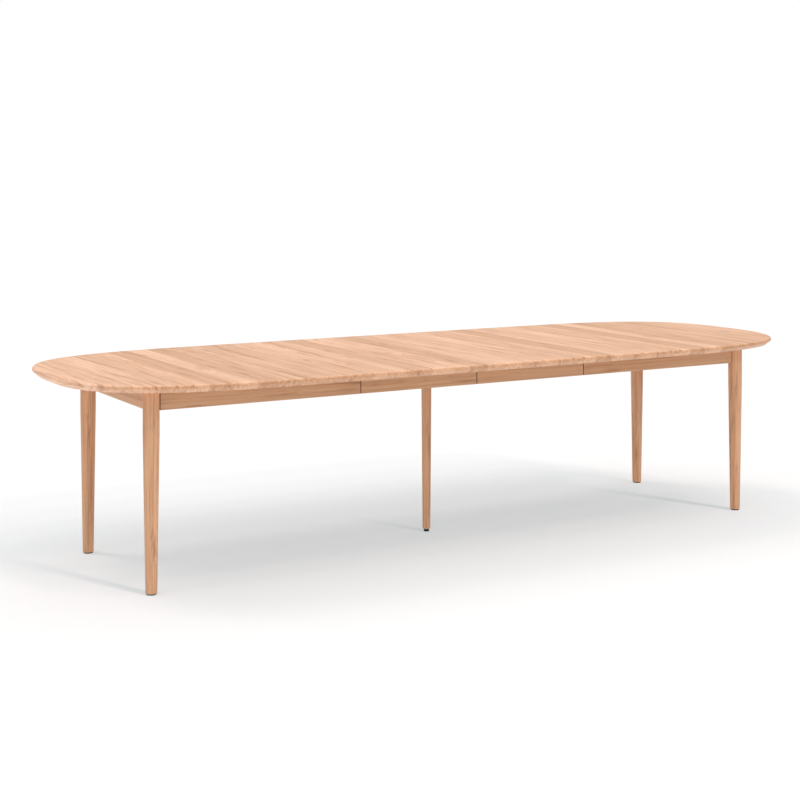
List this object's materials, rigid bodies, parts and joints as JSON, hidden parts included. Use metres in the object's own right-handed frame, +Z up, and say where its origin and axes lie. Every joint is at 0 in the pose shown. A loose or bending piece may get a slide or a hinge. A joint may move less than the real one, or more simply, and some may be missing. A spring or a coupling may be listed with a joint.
{
  "type": "extendable dining table",
  "caption": "Extendable oak dining table with rounded boat-shaped ends, drop-in leaves, tapered round legs and a slim centre leg, shown extended.",
  "frame": {"origin": "on the floor under the middle of the extended table, the bottom centre of its box", "axes": "+X along the table, +Y towards its back, +Z up"},
  "size_m": [3.13, 1.08, 0.723],
  "materials": {
    "oak_top": "soaped natural oak, matt, staves across the width",
    "oak_apron": "natural oak, matt, grain along the piece",
    "oak_leg": "natural oak, matt, turned",
    "beech": "planed beech, unlacquered",
    "steel": "zinc-plated steel",
    "black_plastic": "black moulded plastic"
  },
  "bodies": {
    "centre_frame": {"beam_front": "beech", "beam_back": "beech", "member_left": "beech", "member_centre": "beech", "member_right": "beech", "stop_left_front": "beech", "stop_left_back": "beech", "stop_right_front": "beech", "stop_right_back": "beech", "centre_leg_plate": "steel", "centre_leg_bolt": "steel", "centre_leg": "oak_leg"},
    "left_half": {"left_top": "oak_top", "left_apron_front": "oak_apron", "left_apron_back": "oak_apron", "left_apron_end": "oak_apron", "left_cross_rail": "beech", "left_leg_front": "oak_leg", "left_glide_front": "black_plastic", "left_corner_block_front": "beech", "left_leg_bolt_front": "steel", "left_runner_front": "beech", "left_pin_front": "beech", "left_leg_back": "oak_leg", "left_glide_back": "black_plastic", "left_corner_block_back": "beech", "left_leg_bolt_back": "steel", "left_runner_back": "beech", "left_pin_back": "beech"},
    "right_half": {"right_top": "oak_top", "right_apron_front": "oak_apron", "right_apron_back": "oak_apron", "right_apron_end": "oak_apron", "right_cross_rail": "beech", "right_leg_front": "oak_leg", "right_glide_front": "black_plastic", "right_corner_block_front": "beech", "right_leg_bolt_front": "steel", "right_runner_front": "beech", "right_pin_front": "beech", "right_leg_back": "oak_leg", "right_glide_back": "black_plastic", "right_corner_block_back": "beech", "right_leg_bolt_back": "steel", "right_runner_back": "beech", "right_pin_back": "beech"},
    "left_leaf": {"left_leaf": "oak_top", "left_leaf_apron_front": "oak_apron", "left_leaf_apron_back": "oak_apron", "left_leaf_batten": "beech"},
    "right_leaf": {"right_leaf": "oak_top", "right_leaf_apron_front": "oak_apron", "right_leaf_apron_back": "oak_apron", "right_leaf_batten": "beech"},
    "foot_pad": {"foot_pad": "black_plastic"},
    "foot_stem": {"foot_stem": "steel"}
  },
  "joints": [
    {"name": "left_half_slide", "type": "slide", "parent": "centre_frame", "child": "left_half", "axis": [-1, 0, 0], "range_m": [0, 0.0395]},
    {"name": "right_half_slide", "type": "slide", "parent": "centre_frame", "child": "right_half", "axis": [1, 0, 0], "range_m": [0, 0.0395]},
    {"name": "left_leaf_lift", "type": "slide", "parent": "centre_frame", "child": "left_leaf", "axis": [0, 0, 1], "range_m": [0, 0.12]},
    {"name": "right_leaf_lift", "type": "slide", "parent": "centre_frame", "child": "right_leaf", "axis": [0, 0, 1], "range_m": [0, 0.12]},
    {"name": "foot_pad_extend", "type": "slide", "parent": "centre_frame", "child": "foot_pad", "axis": [0, 0, -1], "range_m": [0, 0.012]},
    {"name": "foot_stem_turn", "type": "hinge", "parent": "foot_pad", "child": "foot_stem", "pos_m": [-0.025, -0.008, 0.0283], "axis": [0, 0, 1], "range_deg": [0, 2881]}
  ],
  "couplings": [
    {"joint": "foot_stem_turn", "follows": "foot_pad_extend", "rad_per_m": 4188.8}
  ]
}
